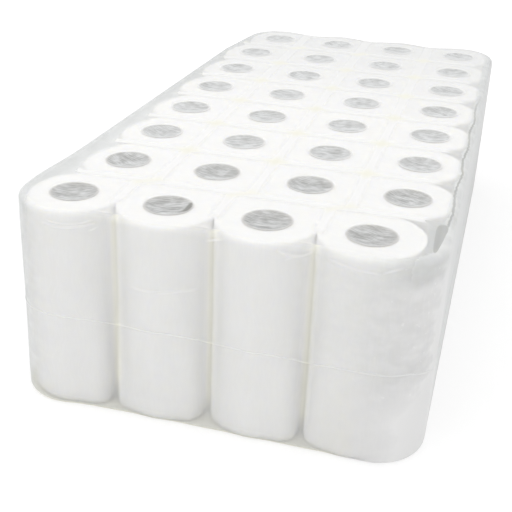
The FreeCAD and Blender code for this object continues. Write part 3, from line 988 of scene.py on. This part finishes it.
def film_creases(n, fold):
    """Fine creases in the slack film, and soft patches between them."""
    warp = n.vector("SUBTRACT", n.noise(fold, 60.0, 1.0, "Color"), (0.5, 0.5, 0.5))
    warped = n.vector("ADD", fold, n.vector("MULTIPLY", warp, (0.004, 0.006, 0)))
    lines = n.noise(n.vector("MULTIPLY", warped, (38.0, 380.0, 3.7)), 1.0, 2.0)
    crease = n.ramp(n.apart(n.fused(lines, 2.0, -1.0)), 0.2, 0.0)
    return crease, n.ramp(n.noise(fold, 85.0, 2.0), 0.35, 0.7)


def past_roll(n, beyond, along, spread, grain):
    """How far the film lies from the middle of the nearest outer roll."""
    wide = n.apart(n.times(along, spread))
    squares = n.plus(n.power(n.most(beyond, 0.0), 2.0), n.power(wide, 2.0))
    far = n.plus(n.math("SQRT", squares), grain)
    return n.times(far, n.math("GREATER_THAN", beyond, 0.0))


def from_roll(n, y):
    """How far along its row's line a place lies from the middle of the nearest roll."""
    return n.minus(n.math("WRAP", y, ROLL_PITCH, 0.0), ROLL_PITCH / 2)


def free_edges(n, x, y, first, grain):
    """Where the top film hangs free past the outer rolls, on the left and on the right."""
    last = n.math("GREATER_THAN", y, LAST_JOINT)
    beyond = n.fused(last, 0.012, n.fused(first, -0.015, n.fused(x, -1.0, -LEFT_LINE)))
    behind = from_roll(n, n.plus(y, n.fused(first, -0.012, 0.018)))
    left = past_roll(n, beyond, behind, n.fused(first, 0.15, 0.6), grain)
    beyond = n.fused(first, 0.0165, n.minus(x, RIGHT_LINE))
    right = past_roll(n, beyond, from_roll(n, y), 0.5, grain)
    return n.most(n.ramp(left, 0.0402, 0.0414), n.ramp(right, 0.0462, 0.047))


def right_shade_line(n, x, y, grain):
    """The drifting line of painted shade along the right of the top, where the film's slack
    leaves the rolls.
    """
    drift = n.math("SINE", n.times(n.plus(y, 0.198), 2 * math.pi / ROLL_PITCH))
    drift = n.fused(drift, 0.0012, n.times(grain, 0.6))
    line = n.apart(n.minus(n.minus(x, RIGHT_SHADE_LINE), drift))
    line = n.times(n.ramp(line, 0.0017, 0.0005), n.ramp(y, 0.02, 0.18, 0.7, 0.0))
    return n.times(line, n.ramp(y, -0.33, -0.3))


def right_gap_shade(n, x, y, grain):
    """Painted shade of the rounded gap beside the first roll at the right, as seen through the
    film.
    """
    down = n.math("DIVIDE", n.plus(y, -GAP_PLACE[1]), GAP_HALF[1])
    across = n.fused(down, -0.001, n.minus(x, GAP_PLACE[0]))
    across = n.math("DIVIDE", across, n.fused(down, 0.0022, GAP_HALF[0]))
    hollow = n.plus(n.power(n.apart(across), 3.0), n.power(n.apart(down), 4.0))
    return n.ramp(n.fused(grain, 90.0, hollow), 1.25, 0.7, 0.0, 0.66)


def painted_joint_light(n, x, y, first, clinging):
    """Painted light over the joints between the roll tops: the film is made whiter there, hiding
    their shade.
    """
    half = ROLL_PITCH / 2
    across = n.apart(n.math("WRAP", y, half, -half))
    middle = n.fused(first, middle_joint(1) - middle_joint(2), middle_joint(2))
    along = n.apart(n.math("WRAP", n.minus(x, middle), half, -half))
    joint = n.times(n.ramp(n.math("MINIMUM", across, along), 0.008, 0.002), clinging)
    return n.times(joint, n.ramp(x, 0.19, 0.175), n.ramp(y, -0.372, -0.352))


def pressed_fold(n, x, z, width, start, middle, end):
    """How much of one pressed fold lies at each point of the front, from 0 to 1."""
    t = n.ramp(x, start[0], end[0], smooth=False)
    line = n.fused(t, end[1] - start[1], start[1])
    bow = n.times(t, n.minus(1.0, t))
    line = n.fused(bow, 4 * middle[1] - 2 * (start[1] + end[1]), line)
    found = n.ramp(n.apart(n.minus(z, line)), width * 1.6, 0.0)
    found = n.times(found, n.ramp(x, start[0] - 0.002, start[0] + 0.008))
    return n.times(found, n.ramp(x, end[0] + 0.002, end[0] - 0.008))


def front_folds(n, x, y, z):
    """All the folds pressed into the front."""
    folds = 0.0
    for width, strength, *bends in FRONT_FOLDS:
        folds = n.most(folds, n.times(pressed_fold(n, x, z, width, *bends), strength))
    return n.times(folds, n.math("LESS_THAN", y, -0.36))


def film_finish():
    """Milky polythene with painted light and shade: grey on its sides and free edges, dark
    painted gaps, light over joints and valleys, whiter folds and glints.
    """
    made, shader, n = plain_material("clear_film", 0.35)
    names = ("slack", "cloud", "weld", "side", "open", "rim", "loose")
    slack, cloud, weld, side, opening_shade, rim, loose = (n.mark(name) for name in names)
    place = n.add("ShaderNodeTexCoord", "Object")
    x, y, z = n.parts(place)
    grain = n.fused(n.noise(place, 130.0, 2.0), 0.006, -0.003)
    crease, patch = film_creases(n, n.mark("fold", "Vector"))
    first = n.math("LESS_THAN", y, FIRST_JOINT)
    on_top = n.ramp(z, FILM_TOP - 0.02, FILM_TOP - 0.01)
    outer = n.times(free_edges(n, x, y, first, grain), on_top)
    # painted shade: a dark line along the right, the gap beside the first roll there and the
    # openings over the holes darken the film
    painted_gap_shade = n.times(n.most(right_shade_line(n, x, y, grain), right_gap_shade(n, x, y, grain)), on_top)
    painted_gap_shade = n.most(painted_gap_shade, opening_shade)
    # hazier towards the back, but not over the holes
    hole = n.ramp(slack, 0.3, 1.0)
    haze = n.times(n.ramp(y, -0.1, 0.4), n.minus(on_top, outer), n.fused(hole, -0.8, 1.0))
    # painted light over the shaded joints between the roll tops
    joint = painted_joint_light(n, x, y, first, n.minus(on_top, outer))
    # folds pressed into the front, whiter along them: a milky crease with a painted highlight
    folds = front_folds(n, x, y, z)
    # painted glints on the loose film at the right front corner
    painted_glint = n.times(n.ramp(n.noise(place, 210.0, 3.0), 0.64, 0.76), loose)

    # how much of what lies behind it the film hides
    facing_away = n.add("ShaderNodeLayerWeight", "Facing", {"Blend": 0.5})
    veil = n.fused(n.power(facing_away, 4.0), VEIL_SLANT, VEIL)
    milk = n.fused(n.fused(crease, 0.2, n.times(patch, 0.18)), slack, cloud)
    milk = n.plus(n.fused(n.times(patch, side), 0.17, milk), rim)
    alpha = n.plus(n.plus(veil, milk), n.times(weld, 0.3))
    parts = ((outer, 0.14), (haze, 0.22), (joint, 0.52), (folds, 0.28), (painted_glint, 0.13))
    for part, strength in parts:
        alpha = n.fused(part, strength, alpha)
    # where shade is painted, the film turns darker and more opaque
    alpha = n.mix(painted_gap_shade, n.clamp(alpha, 0.0, MOST_MILK), GAP_DARKNESS)
    shade = n.add("ShaderNodeLightPath", "Is Shadow Ray")
    alpha = n.mix(shade, alpha, n.times(alpha, SHADOW_SHARE))
    n.tree.links.new(alpha, shader.inputs["Alpha"])

    tint = n.blend(haze, TINT_TOP, TINT_BACK)
    # painted shade: the side walls, the free film at the right front corner and the top's free
    # edges turn grey
    shaded = n.blend(n.ramp(y, -0.2, 0.35), TINT_SIDE_SHADE, TINT_SIDE_BACK_SHADE)
    tint = n.blend(n.most(side, outer), tint, shaded)
    tint = n.blend(n.times(joint, 0.3), tint, TINT_JOINT_LIGHT)
    # painted bounce light: warm where the film is clouded, neutral near the right front corner
    bounce_tint = n.blend(n.ramp(x, 0.12, 0.15), TINT_WARM_BOUNCE, TINT_CORNER)
    tint = n.blend(n.ramp(cloud, 0.05, 0.45), tint, bounce_tint)
    # painted shade: the film over the holes is greyer
    tint = n.blend(hole, tint, TINT_HOLE_SHADE)
    # painted highlight along the folds, and painted glints
    tint = n.blend(n.most(folds, n.times(painted_glint, 0.5)), tint, TINT_FOLD_HIGHLIGHT)
    tint = n.blend(painted_gap_shade, tint, TINT_GAP_SHADE)
    surface(n, shader, tint, n.fused(crease, slack, folds), 0.25, 0.0006)
    shader.inputs["IOR"].default_value = 1.51
    return made


film_mesh = film_bag()
film_mesh.materials.append(film_finish())
film = placed("film_bag", film_mesh)
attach(film, "root")
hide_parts("film_wrap")

# ----------------------------------------
# Floor: a wide pale table. It shows white where nothing shades it.

FLOOR_HALF, FLOOR_DROP = 12.0, 0.0003
FLOOR_SEEN, FLOOR_LIT = (0.35, 0.35, 0.35, 1), (0.85, 0.85, 0.85, 1)


def seen_directly(n):
    """1 where a ray comes straight from the camera, or by way of a mirror or through glass."""
    path = n.tree.nodes.new("ShaderNodeLightPath").outputs
    seen = n.most(path["Is Camera Ray"], path["Is Glossy Ray"])
    return n.most(seen, path["Is Transmission Ray"])


def floor_finish():
    """Pale paint that shows as white, and still darkens under the pack."""
    made, shader, n = plain_material("floor_paint", 0.9)
    shader.inputs["Emission Color"].default_value = (1, 1, 1, 1)
    seen = seen_directly(n)
    spread = n.vector("LENGTH", n.add("ShaderNodeTexCoord", "Object"))
    glow = n.times(seen, n.ramp(spread, 0.5, 2.2, 0.68, 1.0))
    n.tree.links.new(glow, shader.inputs["Emission Strength"])
    n.tree.links.new(n.blend(seen, FLOOR_LIT, FLOOR_SEEN), shader.inputs["Base Color"])
    return made


floor_mesh = bpy.data.meshes.new("floor")
floor_corners = [(-1, -1), (1, -1), (1, 1), (-1, 1)]
floor_mesh.from_pydata(
    [(FLOOR_HALF * x, FLOOR_HALF * y, -FLOOR_DROP) for x, y in floor_corners],
    [], [(0, 1, 2, 3)],
)
floor_mesh.materials.append(floor_finish())
floor = placed("floor", floor_mesh)

# ----------------------------------------
# Light: a white room, a large soft panel overhead and three weaker ones in front and
# at the right, none of which shows in the film's shine.

ROOM_LIT, ROOM_SEEN = 0.6, 1.0

world = bpy.data.worlds.new("room")
bpy.context.scene.world = world
world.use_nodes = True
room = Nodes(world.node_tree)
backdrop = world.node_tree.nodes["Background"]
backdrop.inputs["Color"].default_value = (1, 1, 1, 1)
room_strength = room.ramp(seen_directly(room), 0.0, 1.0, ROOM_LIT, ROOM_SEEN, smooth=False)
world.node_tree.links.new(room_strength, backdrop.inputs["Strength"])


def soft_panel(name, place, aim, width, height, power):
    """A large white lamp that looks at the aim."""
    lamp = bpy.data.lights.new(name, "AREA")
    lamp.shape = "RECTANGLE"
    lamp.size, lamp.size_y = width, height
    lamp.energy = power
    panel = placed(name, lamp)
    panel.location = place
    panel.rotation_euler = (Vector(aim) - Vector(place)).to_track_quat("-Z", "Y").to_euler()
    panel.visible_glossy = False


soft_panel("overhead_panel", (-0.2, -0.1, 1.9), (0, 0, 0.1), 2.2, 2.2, 20.3)
soft_panel("left_panel", (-0.9, -2.0, 1.0), (0, -0.2, 0.1), 1.4, 1.2, 4.9)
soft_panel("front_panel", (0.9, -1.95, 0.6), (0, -0.2, 0.1), 1.4, 1.2, 4.3)
soft_panel("right_panel", (2.0, -0.6, 0.7), (0, 0, 0.1), 1.4, 1.2, 1.7)

bpy.context.scene.view_settings.view_transform = "Standard"
